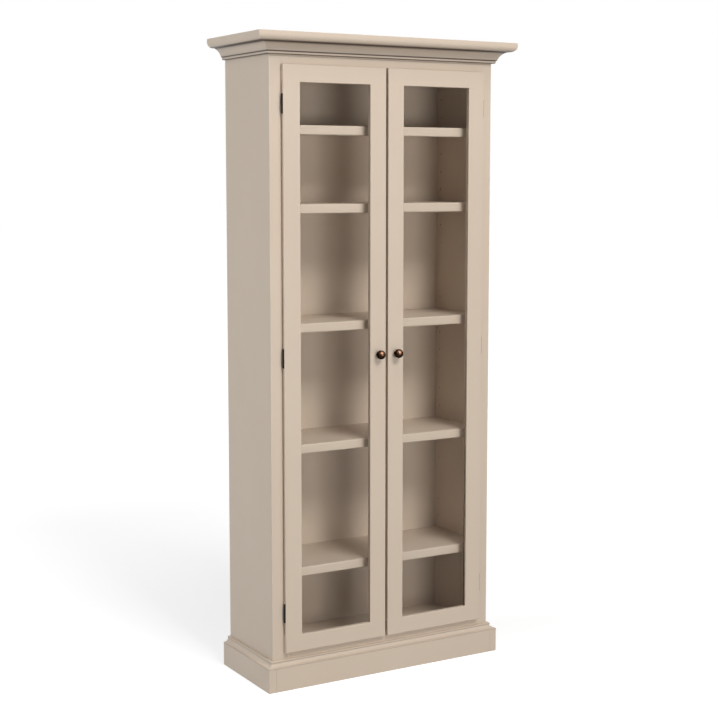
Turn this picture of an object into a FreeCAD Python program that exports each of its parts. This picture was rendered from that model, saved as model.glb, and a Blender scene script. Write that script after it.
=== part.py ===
import FreeCAD, Part
import math
import os
import Sketcher

# Painted bookcase with two glazed doors. Millimetres, +Z up, +X to the right seen from the front, the
# front faces -Y. The origin is on the floor, in the middle of the cornice's outline.

doc = FreeCAD.newDocument("bookcase_with_glass_doors")
sheet = doc.addObject("Spreadsheet::Sheet", "Sizes")

SIZES = {
    # carcass
    "overall_height": 2134,
    "case_width": 853,
    "case_depth": 322,
    "side_thickness": 19,
    "deck_height": 100,
    "deck_thickness": 19,
    "top_panel_thickness": 19,
    "dado_depth": 6,
    "back_thickness": 6,
    "back_recess": 10,
    "groove_depth": 6,
    "groove_end_gap": 0.5,
    "back_rail_height": 76,
    "base_rail_thickness": 19,
    # face frame
    "frame_thickness": 19,
    "frame_stile_width": 51.5,
    "frame_rebate_front": 8,
    "frame_foot_gap": 60,
    "frame_tenon_length": 25,
    "frame_tenon_thickness": 7,
    "frame_tenon_shoulder": 10,
    # cornice
    "cap_thickness": 30,
    "cap_overhang": 65,
    "cap_edge_radius": 19,
    "cove_height": 37.5,
    "cove_projection": 37.5,
    "cove_radius": 39,
    "cove_foot_height": 9,
    "cove_foot_projection": 11.5,
    "cove_foot_radius": 3.5,
    "cove_start_projection": 14.5,
    "cove_top_lip": 1,
    # base
    "plinth_height": 78,
    "plinth_thickness": 26,
    "base_moulding_height": 21.5,
    "base_moulding_toe": 2.5,
    "base_moulding_lip_height": 5.5,
    "base_moulding_lip_projection": 10,
    "base_moulding_cove_start": 8.5,
    "base_moulding_cove_radius": 17,
    "base_moulding_lip_radius": 2,
    # shelves
    "shelf_thickness": 18,
    "shelf_lipping_height": 31,
    "shelf_lipping_thickness": 18,
    "shelf_setback": 32.5,
    "shelf_back_gap": 0.7,
    "shelf_end_gap": 1.5,
    "shelf_lipping_radius": 4,
    "bottom_shelf_level": 390.5,
    "lower_shelf_level": 803.5,
    "middle_shelf_level": 1204,
    "upper_shelf_level": 1593,
    "top_shelf_level": 1847.5,
    "pin_radius": 2.5,
    "pin_collar_radius": 4,
    "pin_collar_thickness": 1,
    "pin_shank_length": 10,
    "pin_head_length": 9,
    "pin_hole_clearance": 0.05,
    "pin_hole_depth": 11,
    "pin_hole_pitch": 64.5,
    "front_pin_hole_inset": 45,
    "back_pin_hole_inset": 24,
    # doors
    "top_reveal": 30.5,
    "bottom_reveal": 23.5,
    "door_overlay": 10,
    "door_centre_gap": 9,
    "door_standoff": 1.5,
    "door_thickness": 16,
    "door_stile_width": 60,
    "door_rail_width": 56,
    "door_tenon_length": 25,
    "door_tenon_thickness": 5,
    "door_tenon_shoulder": 12,
    "glass_lip_thickness": 9,
    "glass_thickness": 3,
    "glass_rebate_width": 9,
    "glass_edge_gap": 1,
    # hinges
    "hinge_length": 60,
    "top_hinge_inset": 123.5,
    "middle_hinge_level": 1098.5,
    "bottom_hinge_inset": 133,
    "hinge_axis_out": 0.8,
    "hinge_axis_depth": 9,
    "hinge_barrel_radius": 3,
    "hinge_pin_radius": 1.25,
    "hinge_running_clearance": 0.05,
    "hinge_knuckle_gap": 0.3,
    "hinge_pin_head_radius": 2.4,
    "hinge_pin_head_top_radius": 1.7,
    "hinge_pin_head_height": 1.5,
    "hinge_leaf_thickness": 1.2,
    "hinge_screw_gap": 2.6,
    "hinge_leaf_margin": 7.2,
    "hinge_wrap_depth": 16,
    "hinge_mortise_clearance": 0.1,
    # screws
    "screw_shank_radius": 1.5,
    "screw_head_radius": 2.8,
    "screw_head_top_radius": 2,
    "screw_head_height": 1.5,
    "screw_length": 12,
    "screw_hole_clearance": 0.05,
    "screw_tip_clearance": 1,
    "screw_spacing": 40,
    # knobs
    "knob_level": 1093,
    "knob_radius": 15,
    "knob_centre_height": 20,
    "knob_foot_radius": 8,
    "knob_foot_height": 1.5,
    "knob_neck_radius": 5.5,
    "knob_screw_radius": 2,
    "knob_screw_clearance": 0.1,
    "knob_screw_reach": 12,
    "knob_screw_tip_clearance": 1,
    "knob_screw_head_radius": 5,
    "knob_screw_head_top_radius": 3,
    "knob_screw_head_height": 2.2,
    # magnetic catch
    "catch_body_width": 66,
    "catch_height": 14,
    "catch_depth": 17,
    "catch_ear_width": 10,
    "catch_ear_thickness": 3,
    "catch_magnet_offset": 19,
    "catch_magnet_width": 24,
    "catch_magnet_height": 8,
    "catch_magnet_depth": 6,
    "catch_magnet_clearance": 0.1,
    "strike_thickness": 1.2,
    "strike_width": 26,
    "strike_screw_gap": 3.2,
    "strike_margin": 3.2,
    "strike_gap": 0.2,
}

for row, (alias, size) in enumerate(SIZES.items(), 1):
    sheet.set(f"A{row}", alias)
    sheet.set(f"B{row}", str(size))
    sheet.setAlias(f"B{row}", alias)
doc.recompute()

# Places that several pieces share, worked out from the sizes.
HALF_WIDTH = "(Sizes.case_width / 2)"
INNER_HALF = "(Sizes.case_width / 2 - Sizes.side_thickness)"
FRONT = "((Sizes.cap_overhang - Sizes.case_depth) / 2)"
BACK = "((Sizes.cap_overhang + Sizes.case_depth) / 2)"
FRAME_BACK = f"({FRONT} + Sizes.frame_thickness)"
SIDE_FRONT = f"({FRONT} + Sizes.frame_rebate_front)"
PANEL_REAR = f"({BACK} - Sizes.back_recess)"
PANEL_FRONT = f"({PANEL_REAR} - Sizes.back_thickness)"
CASE_TOP = "(Sizes.overall_height - Sizes.cap_thickness)"
DECK_UNDERSIDE = "(Sizes.deck_height - Sizes.deck_thickness)"
BASE_TOP = "(Sizes.plinth_height + Sizes.base_moulding_height)"
DOOR_TOP = f"({CASE_TOP} - Sizes.cove_height - Sizes.top_reveal)"
DOOR_BOTTOM = f"({BASE_TOP} + Sizes.bottom_reveal)"
DOOR_HEIGHT = f"({DOOR_TOP} - {DOOR_BOTTOM})"
OPENING_TOP = f"({DOOR_TOP} - Sizes.door_overlay)"
OPENING_BOTTOM = f"({DOOR_BOTTOM} + Sizes.door_overlay)"
OPENING_HALF = "(Sizes.case_width / 2 - Sizes.frame_stile_width)"
DOOR_OUTER = f"({OPENING_HALF} + Sizes.door_overlay)"
DOOR_INNER = "(Sizes.door_centre_gap / 2)"
DOOR_WIDTH = f"({DOOR_OUTER} - {DOOR_INNER})"
DOOR_BACK = f"({FRONT} - Sizes.door_standoff)"
DOOR_FRONT = f"({DOOR_BACK} - Sizes.door_thickness)"
HINGE_X = f"({DOOR_OUTER} + Sizes.hinge_axis_out)"
HINGE_Y = f"({DOOR_BACK} - Sizes.hinge_axis_depth)"
HINGE_FOOTS = [
    f"({DOOR_BOTTOM} + Sizes.bottom_hinge_inset - Sizes.hinge_length / 2)",
    "(Sizes.middle_hinge_level - Sizes.hinge_length / 2)",
    f"({DOOR_TOP} - Sizes.top_hinge_inset - Sizes.hinge_length / 2)",
]
KNOB_X = f"({DOOR_INNER} + Sizes.door_stile_width / 2)"
SHELF_FRONT = f"({FRONT} + Sizes.shelf_setback)"
SHELF_BACK = f"({PANEL_FRONT} - Sizes.shelf_back_gap)"
PIN_COLUMNS = [f"({SHELF_FRONT} + Sizes.front_pin_hole_inset)", f"({SHELF_BACK} - Sizes.back_pin_hole_inset)"]
SHELF_NAMES = ["bottom_shelf", "lower_shelf", "middle_shelf", "upper_shelf", "top_shelf"]

nodes = []


# ---- drawing helpers ----


def value(expression):
    """The number that an expression of the sheet gives now."""
    return float(sheet.evalExpression(expression))


def new_body(name):
    return doc.addObject("PartDesign::Body", name)


def place(item, x="0", y="0", z="0"):
    """Ties an object's position to the sheet."""
    for axis, expression in (("x", x), ("y", y), ("z", z)):
        item.setExpression(f"Placement.Base.{axis}", expression)


def finished(item, label):
    """Names a sub-part and puts it on the list of files to write."""
    item.Label = label
    nodes.append(item)
    return item


def new_sketch(body, plane, offset="0"):
    """A sketch on one of the body's own origin planes, moved along that plane's normal."""
    sketch = body.newObject("Sketcher::SketchObject", "Outline")
    origin_plane = [item for item in body.Origin.OriginFeatures if item.Role == plane + "_Plane"][0]
    sketch.AttachmentSupport = [(origin_plane, "")]
    sketch.MapMode = "FlatFace"
    sketch.setExpression("AttachmentOffset.Base.z", offset)
    return sketch


def tie(sketch, kind, geometry, point, expression, number):
    """A driven constraint: a distance from the sketch's origin, or a radius."""
    if kind == "Radius":
        index = sketch.addConstraint(Sketcher.Constraint(kind, geometry, number))
    else:
        index = sketch.addConstraint(Sketcher.Constraint(kind, -1, 1, geometry, point, number))
    sketch.setExpression(f"Constraints[{index}]", expression)


def arc_between(start, end, radius):
    """The short arc from start to end: a positive radius turns to the left, a negative one to the right."""
    span = end - start
    side = math.copysign(1, radius)
    rise = math.sqrt(max(radius**2 - (span.Length / 2) ** 2, 0))
    normal = FreeCAD.Vector(-span.y, span.x, 0).normalize()
    centre = (start + end) / 2 + normal * rise * side
    first = math.atan2(start.y - centre.y, start.x - centre.x)
    last = math.atan2(end.y - centre.y, end.x - centre.x)
    if side < 0:
        first, last = last, first
    circle = Part.Circle(centre, FreeCAD.Vector(0, 0, 1), abs(radius))
    return Part.ArcOfCircle(circle, first, last)


def draw(sketch, corners):
    """Closed outline through corners (x, y), or (x, y, radius, side) where an arc leads to the next one.

    Side is 1 for an arc that turns to the left and -1 for one that turns to the right.
    """
    spots = [FreeCAD.Vector(value(corner[0]), value(corner[1]), 0) for corner in corners]
    ends = []
    for number, corner in enumerate(corners):
        start, end = spots[number], spots[(number + 1) % len(spots)]
        if len(corner) == 2:
            edge = sketch.addGeometry(Part.LineSegment(start, end))
            ends.append((edge, 1, 2))
        else:
            edge = sketch.addGeometry(arc_between(start, end, corner[3] * value(corner[2])))
            ends.append((edge, 1, 2) if corner[3] > 0 else (edge, 2, 1))
    for number, (edge, _, last) in enumerate(ends):
        following, first, _ = ends[(number + 1) % len(ends)]
        sketch.addConstraint(Sketcher.Constraint("Coincident", edge, last, following, first))
    for number, corner in enumerate(corners):
        edge, first, _ = ends[number]
        tie(sketch, "DistanceX", edge, first, corner[0], spots[number].x)
        tie(sketch, "DistanceY", edge, first, corner[1], spots[number].y)
        if len(corner) == 4:
            tie(sketch, "Radius", edge, None, corner[2], value(corner[2]))


def draw_circle(sketch, x, y, radius):
    centre = FreeCAD.Vector(value(x), value(y), 0)
    ring = sketch.addGeometry(Part.Circle(centre, FreeCAD.Vector(0, 0, 1), value(radius)))
    tie(sketch, "DistanceX", ring, 3, x, centre.x)
    tie(sketch, "DistanceY", ring, 3, y, centre.y)
    tie(sketch, "Radius", ring, None, radius, value(radius))


def pad(body, sketch, length, midplane=False, backwards=False):
    feature = body.newObject("PartDesign::Pad", "Pad")
    feature.Profile = sketch
    feature.setExpression("Length", length)
    feature.Midplane = midplane
    feature.Reversed = backwards
    return feature


def pocket(body, sketch, depth, backwards=False):
    """A cut that has to take something away."""
    doc.recompute()
    before = body.Shape.Volume
    feature = body.newObject("PartDesign::Pocket", "Pocket")
    feature.Profile = sketch
    feature.setExpression("Length", depth)
    feature.Reversed = backwards
    doc.recompute()
    if not body.Shape.Volume < before:
        raise RuntimeError(f"a pocket of {body.Name} cuts nothing")
    return feature


def rectangle(low, high):
    return [(low[0], low[1]), (high[0], low[1]), (high[0], high[1]), (low[0], high[1])]


def add_block(body, low, high):
    """A padded block between two corners of the body's own frame."""
    sketch = new_sketch(body, "XY", low[2])
    draw(sketch, rectangle(low, high))
    return pad(body, sketch, f"{high[2]} - ({low[2]})")


def cut_block(body, low, high):
    """A rebate, dado or mortise between two corners of the body's own frame."""
    sketch = new_sketch(body, "XY", high[2])
    draw(sketch, rectangle(low, high))
    return pocket(body, sketch, f"{high[2]} - ({low[2]})")


def board(name, size, corner):
    """A plain board with its lowest corner at the given place."""
    body = new_body(name)
    add_block(body, ("0", "0", "0"), size)
    place(body, *corner)
    return body


def turned(body, half_outline):
    """Turns a half outline, drawn as (radius, height), about the body's Z axis."""
    sketch = new_sketch(body, "XZ")
    draw(sketch, half_outline)
    feature = body.newObject("PartDesign::Revolution", "Turning")
    feature.Profile = sketch
    feature.ReferenceAxis = (sketch, ["V_Axis"])
    feature.Angle = 360
    return feature


def copies(name, source, places, axis=None, angle=0):
    """Identical solids in one object, each at its own place."""
    links = []
    for number, spot in enumerate(places, 1):
        link = doc.addObject("App::Link", f"{name}_{number}")
        link.LinkedObject = source
        if axis is not None:
            link.Placement = FreeCAD.Placement(FreeCAD.Vector(), FreeCAD.Rotation(axis, angle))
        place(link, *spot)
        links.append(link)
    return links


def gathered(name, links):
    group = doc.addObject("Part::Compound", name)
    group.Links = links
    return group


def other_hand(source, label):
    """The right-hand twin of a left-hand piece."""
    twin = doc.addObject("Part::Mirroring", label)
    twin.Source = source
    twin.Normal = FreeCAD.Vector(1, 0, 0)
    return finished(twin, label)


def both_hands(left, name):
    finished(left, "left_" + name)
    other_hand(left, "right_" + name)


X_AXIS = FreeCAD.Vector(1, 0, 0)
Y_AXIS = FreeCAD.Vector(0, 1, 0)


# ---- carcass ----


def side_panel():
    """Floor to top, let into the stile's rebate, with dados, a groove for the back and rows of pin holes."""
    inner, dado = "Sizes.side_thickness", "(Sizes.side_thickness - Sizes.dado_depth)"
    groove = "(Sizes.side_thickness - Sizes.groove_depth)"
    depth = f"({BACK} - {SIDE_FRONT})"
    panel_start = f"({FRAME_BACK} - {SIDE_FRONT})"
    panel_front = f"({PANEL_FRONT} - {SIDE_FRONT})"
    panel_rear = f"({PANEL_REAR} - {SIDE_FRONT})"
    top_underside = f"({CASE_TOP} - Sizes.top_panel_thickness)"
    body = board("side_panel", (inner, depth, CASE_TOP), (f"-{HALF_WIDTH}", SIDE_FRONT, "0"))
    cut_block(body, (dado, panel_start, DECK_UNDERSIDE), (inner, panel_front, "Sizes.deck_height"))
    cut_block(body, (dado, panel_start, top_underside), (inner, panel_front, CASE_TOP))
    cut_block(body, (groove, panel_front, DECK_UNDERSIDE), (inner, panel_rear, CASE_TOP))
    pin_holes(body, "bottom_shelf", above=2, below=2)
    pin_holes(body, "lower_shelf", above=2, below=2)
    pin_holes(body, "middle_shelf", above=1, below=3)
    pin_holes(body, "upper_shelf", above=1, below=2)
    pin_holes(body, "top_shelf", above=2, below=2)
    return body


def pin_holes(body, name, above, below):
    """Two columns of holes for one shelf, with spare ones above and below those in use."""
    lowest = f"({pin_height(name)} - {below} * Sizes.pin_hole_pitch)"
    sketch = new_sketch(body, "YZ", "Sizes.side_thickness")
    radius = "(Sizes.pin_radius + Sizes.pin_hole_clearance)"
    for column in PIN_COLUMNS:
        draw_circle(sketch, f"({column} - {SIDE_FRONT})", lowest, radius)
    holes = pocket(body, sketch, "Sizes.pin_hole_depth")
    pattern = body.newObject("PartDesign::LinearPattern", "Column")
    pattern.Originals = [holes]
    pattern.Direction = (sketch, ["V_Axis"])
    pattern.Occurrences = above + below + 1
    pattern.setExpression("Length", f"{above + below} * Sizes.pin_hole_pitch")
    body.Tip = pattern


def shelf_level(name):
    return f"Sizes.{name}_level"


def pin_height(name):
    """The middle of the pins that carry a shelf."""
    return f"({shelf_level(name)} - Sizes.shelf_thickness - Sizes.pin_radius)"


def cross_panel(name, thickness, foot):
    """A panel that runs between the sides, housed in their dados, from the face frame to the back."""
    half = f"({INNER_HALF} + Sizes.dado_depth)"
    size = (f"2 * {half}", f"({PANEL_FRONT} - {FRAME_BACK})", thickness)
    return finished(board(name, size, (f"-{half}", FRAME_BACK, foot)), name)


def back_panel():
    half = f"({INNER_HALF} + Sizes.groove_depth - Sizes.groove_end_gap)"
    size = (f"2 * {half}", "Sizes.back_thickness", f"({CASE_TOP} - {DECK_UNDERSIDE})")
    return finished(board("back_panel", size, (f"-{half}", PANEL_FRONT, DECK_UNDERSIDE)), "back_panel")


def back_rail(name, front, thickness, foot, height):
    """A rail between the sides that stiffens the back."""
    size = (f"2 * {INNER_HALF}", thickness, height)
    return finished(board(name, size, (f"-{INNER_HALF}", front, foot)), name)


def carcass():
    both_hands(side_panel(), "side_panel")
    cross_panel("deck_panel", "Sizes.deck_thickness", DECK_UNDERSIDE)
    cross_panel("top_panel", "Sizes.top_panel_thickness", f"({CASE_TOP} - Sizes.top_panel_thickness)")
    back_panel()
    recess, height, base = "Sizes.back_recess", "Sizes.back_rail_height", "Sizes.base_rail_thickness"
    back_rail("back_rail_top", PANEL_REAR, recess, f"({CASE_TOP} - {height})", height)
    back_rail("back_rail_bottom", PANEL_REAR, recess, DECK_UNDERSIDE, height)
    back_rail("base_rail_back", f"({PANEL_FRONT} - {base})", base, "0", DECK_UNDERSIDE)


# ---- face frame ----

FRAME_TENON = ("(Sizes.frame_thickness / 2 - Sizes.frame_tenon_thickness / 2)",
               "(Sizes.frame_thickness / 2 + Sizes.frame_tenon_thickness / 2)")
STILE_TENON = ("(Sizes.side_thickness + Sizes.frame_tenon_shoulder)",
               "(Sizes.frame_stile_width - Sizes.frame_tenon_shoulder)")


def frame_stile():
    """Floor to top rail, rebated over the side's front edge, with a tenon up into the top rail.

    Its inner edge has a mortise for the bottom rail and the holes for the hinge screws.
    """
    width, thickness = "Sizes.frame_stile_width", "Sizes.frame_thickness"
    shoulder = "Sizes.frame_tenon_shoulder"
    body = board("frame_stile", (width, thickness, OPENING_TOP), (f"-{HALF_WIDTH}", FRONT, "0"))
    cut_block(body, ("0", "Sizes.frame_rebate_front", "0"), ("Sizes.side_thickness", thickness, OPENING_TOP))
    add_block(
        body,
        (STILE_TENON[0], FRAME_TENON[0], OPENING_TOP),
        (STILE_TENON[1], FRAME_TENON[1], f"({OPENING_TOP} + Sizes.frame_tenon_length)"),
    )
    cut_block(
        body,
        (f"({width} - Sizes.frame_tenon_length)", FRAME_TENON[0], f"(Sizes.frame_foot_gap + {shoulder})"),
        (width, FRAME_TENON[1], f"({OPENING_BOTTOM} - {shoulder})"),
    )
    sketch = new_sketch(body, "YZ", width)
    for foot in HINGE_FOOTS:
        for height in screw_heights(foot):
            draw_circle(sketch, WRAP_SCREW_DEPTH, height, SCREW_HOLE)
    pocket(body, sketch, screw_hole_depth("Sizes.hinge_leaf_thickness"))
    return body


def frame_rail_top():
    """Runs right across, over both stiles, up behind the cornice moulding."""
    width, thickness, height = "Sizes.case_width", "Sizes.frame_thickness", f"({CASE_TOP} - {OPENING_TOP})"
    body = board("frame_rail_top", (width, thickness, height), (f"-{HALF_WIDTH}", FRONT, OPENING_TOP))
    ends = ("0", "Sizes.side_thickness")
    for low, high in (ends, far_end(ends)):
        cut_block(body, (low, "Sizes.frame_rebate_front", "0"), (high, thickness, height))
    for low, high in (STILE_TENON, far_end(STILE_TENON)):
        cut_block(body, (low, FRAME_TENON[0], "0"), (high, FRAME_TENON[1], "Sizes.frame_tenon_length"))
    sketch = new_sketch(body, "XY")
    for side in (-1, 1):
        across = f"({HALF_WIDTH} + {side} * {CATCH_SCREW_X})"
        draw_circle(sketch, across, CATCH_SCREW_DEPTH, SCREW_HOLE)
    pocket(body, sketch, screw_hole_depth("Sizes.catch_ear_thickness"), backwards=True)
    return finished(body, "frame_rail_top")


def far_end(span):
    """The same stretch of the case's width, measured from its right side."""
    return f"(Sizes.case_width - {span[1]})", f"(Sizes.case_width - {span[0]})"


def frame_rail_bottom():
    """Between the stiles, tenoned into them, with its foot hidden behind the plinth board."""
    length = f"(2 * {OPENING_HALF})"
    tenon, shoulder = "Sizes.frame_tenon_length", "Sizes.frame_tenon_shoulder"
    height = f"({OPENING_BOTTOM} - Sizes.frame_foot_gap)"
    body = board(
        "frame_rail_bottom",
        (length, "Sizes.frame_thickness", height),
        (f"-{OPENING_HALF}", FRONT, "Sizes.frame_foot_gap"),
    )
    add_block(
        body,
        (f"-{tenon}", FRAME_TENON[0], shoulder),
        (f"({length} + {tenon})", FRAME_TENON[1], f"({height} - {shoulder})"),
    )
    return finished(body, "frame_rail_bottom")


# ---- cornice and base ----


def top_board():
    """The middle board of the cap, full depth, with its lower front edge rounded."""
    body = new_body("top_board")
    depth = f"({BACK} - {FRONT} + Sizes.cap_overhang)"
    sketch = new_sketch(body, "YZ")
    draw(sketch, [
        ("Sizes.cap_edge_radius", "0"),
        (depth, "0"),
        (depth, "Sizes.cap_thickness"),
        ("0", "Sizes.cap_thickness"),
        ("0", "Sizes.cap_edge_radius", "Sizes.cap_edge_radius", 1),
    ])
    pad(body, sketch, "Sizes.case_width", midplane=True)
    place(body, "0", f"({FRONT} - Sizes.cap_overhang)", CASE_TOP)
    return finished(body, "top_board")


def cornice_side_board():
    """The side board of the cap: its front end carries the rounded edge on round the corner."""
    depth = f"({BACK} - {FRONT} + Sizes.cap_overhang)"
    body = board(
        "cornice_side_board",
        ("Sizes.cap_overhang", depth, "Sizes.cap_thickness"),
        (f"(-{HALF_WIDTH} - Sizes.cap_overhang)", f"({FRONT} - Sizes.cap_overhang)", CASE_TOP),
    )
    doc.recompute()
    block = body.Tip
    rounded = []
    for number, edge in enumerate(block.Shape.Edges, 1):
        middle = edge.CenterOfMass
        if abs(middle.z) < 1e-6 and (abs(middle.x) < 1e-6 or abs(middle.y) < 1e-6):
            rounded.append(f"Edge{number}")
    fillet = body.newObject("PartDesign::Fillet", "RoundedEdge")
    fillet.Base = (block, rounded)
    fillet.setExpression("Radius", "Sizes.cap_edge_radius")
    return body


def cove_outline():
    """Cornice moulding in section, as (projection, height): a small rounded foot, then the cove."""
    foot, start = "Sizes.cove_foot_projection", "Sizes.cove_start_projection"
    radius = "Sizes.cove_foot_radius"
    return [
        ("0", "0"),
        (f"({foot} - {radius})", "0", radius, 1),
        (foot, radius),
        (foot, "Sizes.cove_foot_height"),
        (start, "Sizes.cove_foot_height", "Sizes.cove_radius", -1),
        ("Sizes.cove_projection", "(Sizes.cove_height - Sizes.cove_top_lip)"),
        ("Sizes.cove_projection", "Sizes.cove_height"),
        ("0", "Sizes.cove_height"),
    ]


def base_moulding_outline():
    """Base moulding in section, as (projection, height): it flares from a thin lip down to the plinth."""
    toe, lip = "Sizes.base_moulding_toe", "Sizes.base_moulding_lip_projection"
    top, radius = "Sizes.base_moulding_height", "Sizes.base_moulding_lip_radius"
    lip_foot = f"({top} - Sizes.base_moulding_lip_height)"
    return [
        ("0", "0"),
        ("Sizes.plinth_thickness", "0"),
        ("Sizes.plinth_thickness", toe, "Sizes.base_moulding_cove_radius", -1),
        ("Sizes.base_moulding_cove_start", lip_foot),
        (lip, lip_foot),
        (lip, f"({top} - {radius})", radius, 1),
        (f"({lip} - {radius})", top),
        ("0", top),
    ]


def moulding_run(name, outline, height, reach, foot):
    """A mitred moulding round the front and both sides of the case.

    The front length is cut at 45 degrees at both ends, and each side length at its front end.
    """
    front = new_body("front_" + name)
    sketch = new_sketch(front, "YZ")
    draw(sketch, [leftwards(corner) for corner in outline])
    pad(front, sketch, f"2 * ({HALF_WIDTH} + {reach})", midplane=True)
    for side in (-1, 1):
        near, far = f"({side} * {HALF_WIDTH})", f"({side} * ({HALF_WIDTH} + {reach}))"
        wedge = new_sketch(front, "XY", height)
        draw(wedge, [(near, "0"), (far, "0"), (far, f"-{reach}")])
        pocket(front, wedge, height)
    place(front, "0", FRONT, foot)
    finished(front, "front_" + name)

    left = new_body("left_" + name)
    sketch = new_sketch(left, "XZ", reach)
    draw(sketch, [leftwards(corner) for corner in outline])
    pad(left, sketch, f"({reach} + {BACK} - {FRONT})", backwards=True)
    wedge = new_sketch(left, "XY", height)
    draw(wedge, [("0", "0"), (f"-{reach}", f"-{reach}"), ("0", f"-{reach}")])
    pocket(left, wedge, height)
    place(left, f"-{HALF_WIDTH}", FRONT, foot)
    both_hands(left, name)


def leftwards(corner):
    """The same corner with the projection to the left, so that an arc turns the other way."""
    across = corner[0] if corner[0] == "0" else f"-{corner[0]}"
    if len(corner) == 2:
        return (across, corner[1])
    return (across, corner[1], corner[2], -corner[3])


def cornice():
    top_board()
    both_hands(cornice_side_board(), "cornice_side_board")
    foot = f"({CASE_TOP} - Sizes.cove_height)"
    moulding_run("cornice_moulding", cove_outline(), "Sizes.cove_height", "Sizes.cove_projection", foot)


def base():
    """The front plinth board sits between the side ones, whose ends show. The moulding stands on them."""
    thickness, height = "Sizes.plinth_thickness", "Sizes.plinth_height"
    front_size = ("Sizes.case_width", thickness, height)
    front = board("front_plinth_board", front_size, (f"-{HALF_WIDTH}", f"({FRONT} - {thickness})", "0"))
    finished(front, "front_plinth_board")
    side = board(
        "left_plinth_board",
        (thickness, f"({BACK} - {FRONT} + {thickness})", height),
        (f"(-{HALF_WIDTH} - {thickness})", f"({FRONT} - {thickness})", "0"),
    )
    both_hands(side, "plinth_board")
    moulding_run("base_moulding", base_moulding_outline(), "Sizes.base_moulding_height", thickness, height)


# ---- shelves ----


LIPPING_BACK = f"({SHELF_FRONT} + Sizes.shelf_lipping_thickness)"
SHELF_HALF = f"({INNER_HALF} - Sizes.shelf_end_gap)"


def shelf(name):
    """The loose board, behind its lipping."""
    size = (f"2 * {SHELF_HALF}", f"({SHELF_BACK} - {LIPPING_BACK})", "Sizes.shelf_thickness")
    corner = (f"-{SHELF_HALF}", LIPPING_BACK, f"({shelf_level(name)} - Sizes.shelf_thickness)")
    return finished(board(name, size, corner), name)


def shelf_lipping():
    """The deep strip along a shelf's front, its two front edges rounded; its top is at height 0."""
    body = new_body("shelf_lipping")
    depth, height = "Sizes.shelf_lipping_thickness", "Sizes.shelf_lipping_height"
    radius = "Sizes.shelf_lipping_radius"
    sketch = new_sketch(body, "YZ")
    draw(sketch, [
        (radius, f"-{height}"),
        (depth, f"-{height}"),
        (depth, "0"),
        (radius, "0", radius, 1),
        ("0", f"-{radius}"),
        ("0", f"({radius} - {height})", radius, 1),
    ])
    pad(body, sketch, f"2 * {SHELF_HALF}", midplane=True)
    return body


def shelf_pin():
    """Turned pin: the shank goes into the side, the collar stops it and the head carries the shelf."""
    body = new_body("shelf_pin")
    collar_end = "(Sizes.pin_shank_length + Sizes.pin_collar_thickness)"
    turned(body, [
        ("0", "0"),
        ("Sizes.pin_radius", "0"),
        ("Sizes.pin_radius", "Sizes.pin_shank_length"),
        ("Sizes.pin_collar_radius", "Sizes.pin_shank_length"),
        ("Sizes.pin_collar_radius", collar_end),
        ("Sizes.pin_radius", collar_end),
        ("Sizes.pin_radius", "(Sizes.pin_shank_length + Sizes.pin_head_length)"),
        ("0", "(Sizes.pin_shank_length + Sizes.pin_head_length)"),
    ])
    return body


def shelves():
    spots = []
    for name in SHELF_NAMES:
        shelf(name)
        spots.append(("0", SHELF_FRONT, shelf_level(name)))
    finished(gathered("shelf_lippings", copies("shelf_lipping", shelf_lipping(), spots)), "shelf_lippings")
    links = []
    inside = f"({INNER_HALF} + Sizes.pin_shank_length)"
    for side, angle in ((-1, 90), (1, -90)):
        spots = []
        for name in SHELF_NAMES:
            for column in PIN_COLUMNS:
                spots.append((f"({side} * {inside})", column, pin_height(name)))
        links += copies(f"shelf_pin_{'left' if side < 0 else 'right'}", PIN, spots, Y_AXIS, angle)
    finished(gathered("shelf_pins", links), "shelf_pins")


# ---- screws and hinges ----

SCREW_HOLE = "(Sizes.screw_shank_radius + Sizes.screw_hole_clearance)"
WRAP_SCREW_DEPTH = "(Sizes.hinge_wrap_depth / 2 + Sizes.hinge_leaf_thickness)"
WRAP_ACROSS = "(Sizes.door_overlay + Sizes.hinge_axis_out)"
LEAF_SCREW_ACROSS = (f"({WRAP_ACROSS} + Sizes.hinge_leaf_thickness + Sizes.hinge_screw_gap"
                     " + Sizes.screw_head_radius)")
LEAF_END = f"({LEAF_SCREW_ACROSS} + Sizes.screw_head_radius + Sizes.hinge_leaf_margin)"
STRAP_START = "(Sizes.hinge_barrel_radius - Sizes.hinge_leaf_thickness)"


def screw_hole_depth(metal):
    """Deep enough for the tip of a screw whose head bears on metal of this thickness."""
    return f"(Sizes.screw_length - {metal} + Sizes.screw_tip_clearance)"


def screw_heights(foot):
    """The two screws of a hinge leaf, evenly about the middle of the hinge that stands at foot."""
    return [
        f"({foot} + Sizes.hinge_length / 2 - Sizes.screw_spacing / 2)",
        f"({foot} + Sizes.hinge_length / 2 + Sizes.screw_spacing / 2)",
    ]


def wood_screw():
    """Round-headed screw along Z: its head stands on the origin plane and its shank points down."""
    body = new_body("wood_screw")
    shank, head = "Sizes.screw_shank_radius", "Sizes.screw_head_radius"
    turned(body, [
        ("0", "-Sizes.screw_length"),
        (shank, f"(-Sizes.screw_length + {shank})"),
        (shank, "0"),
        (head, "0"),
        ("Sizes.screw_head_top_radius", "Sizes.screw_head_height"),
        ("0", "Sizes.screw_head_height"),
    ])
    return body


def knuckle(number):
    """Where one of the five knuckles of a hinge starts and ends."""
    pitch = "((Sizes.hinge_length + Sizes.hinge_knuckle_gap) / 5)"
    return f"({number} * {pitch})", f"({number} * {pitch} + {pitch} - Sizes.hinge_knuckle_gap)"


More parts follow.
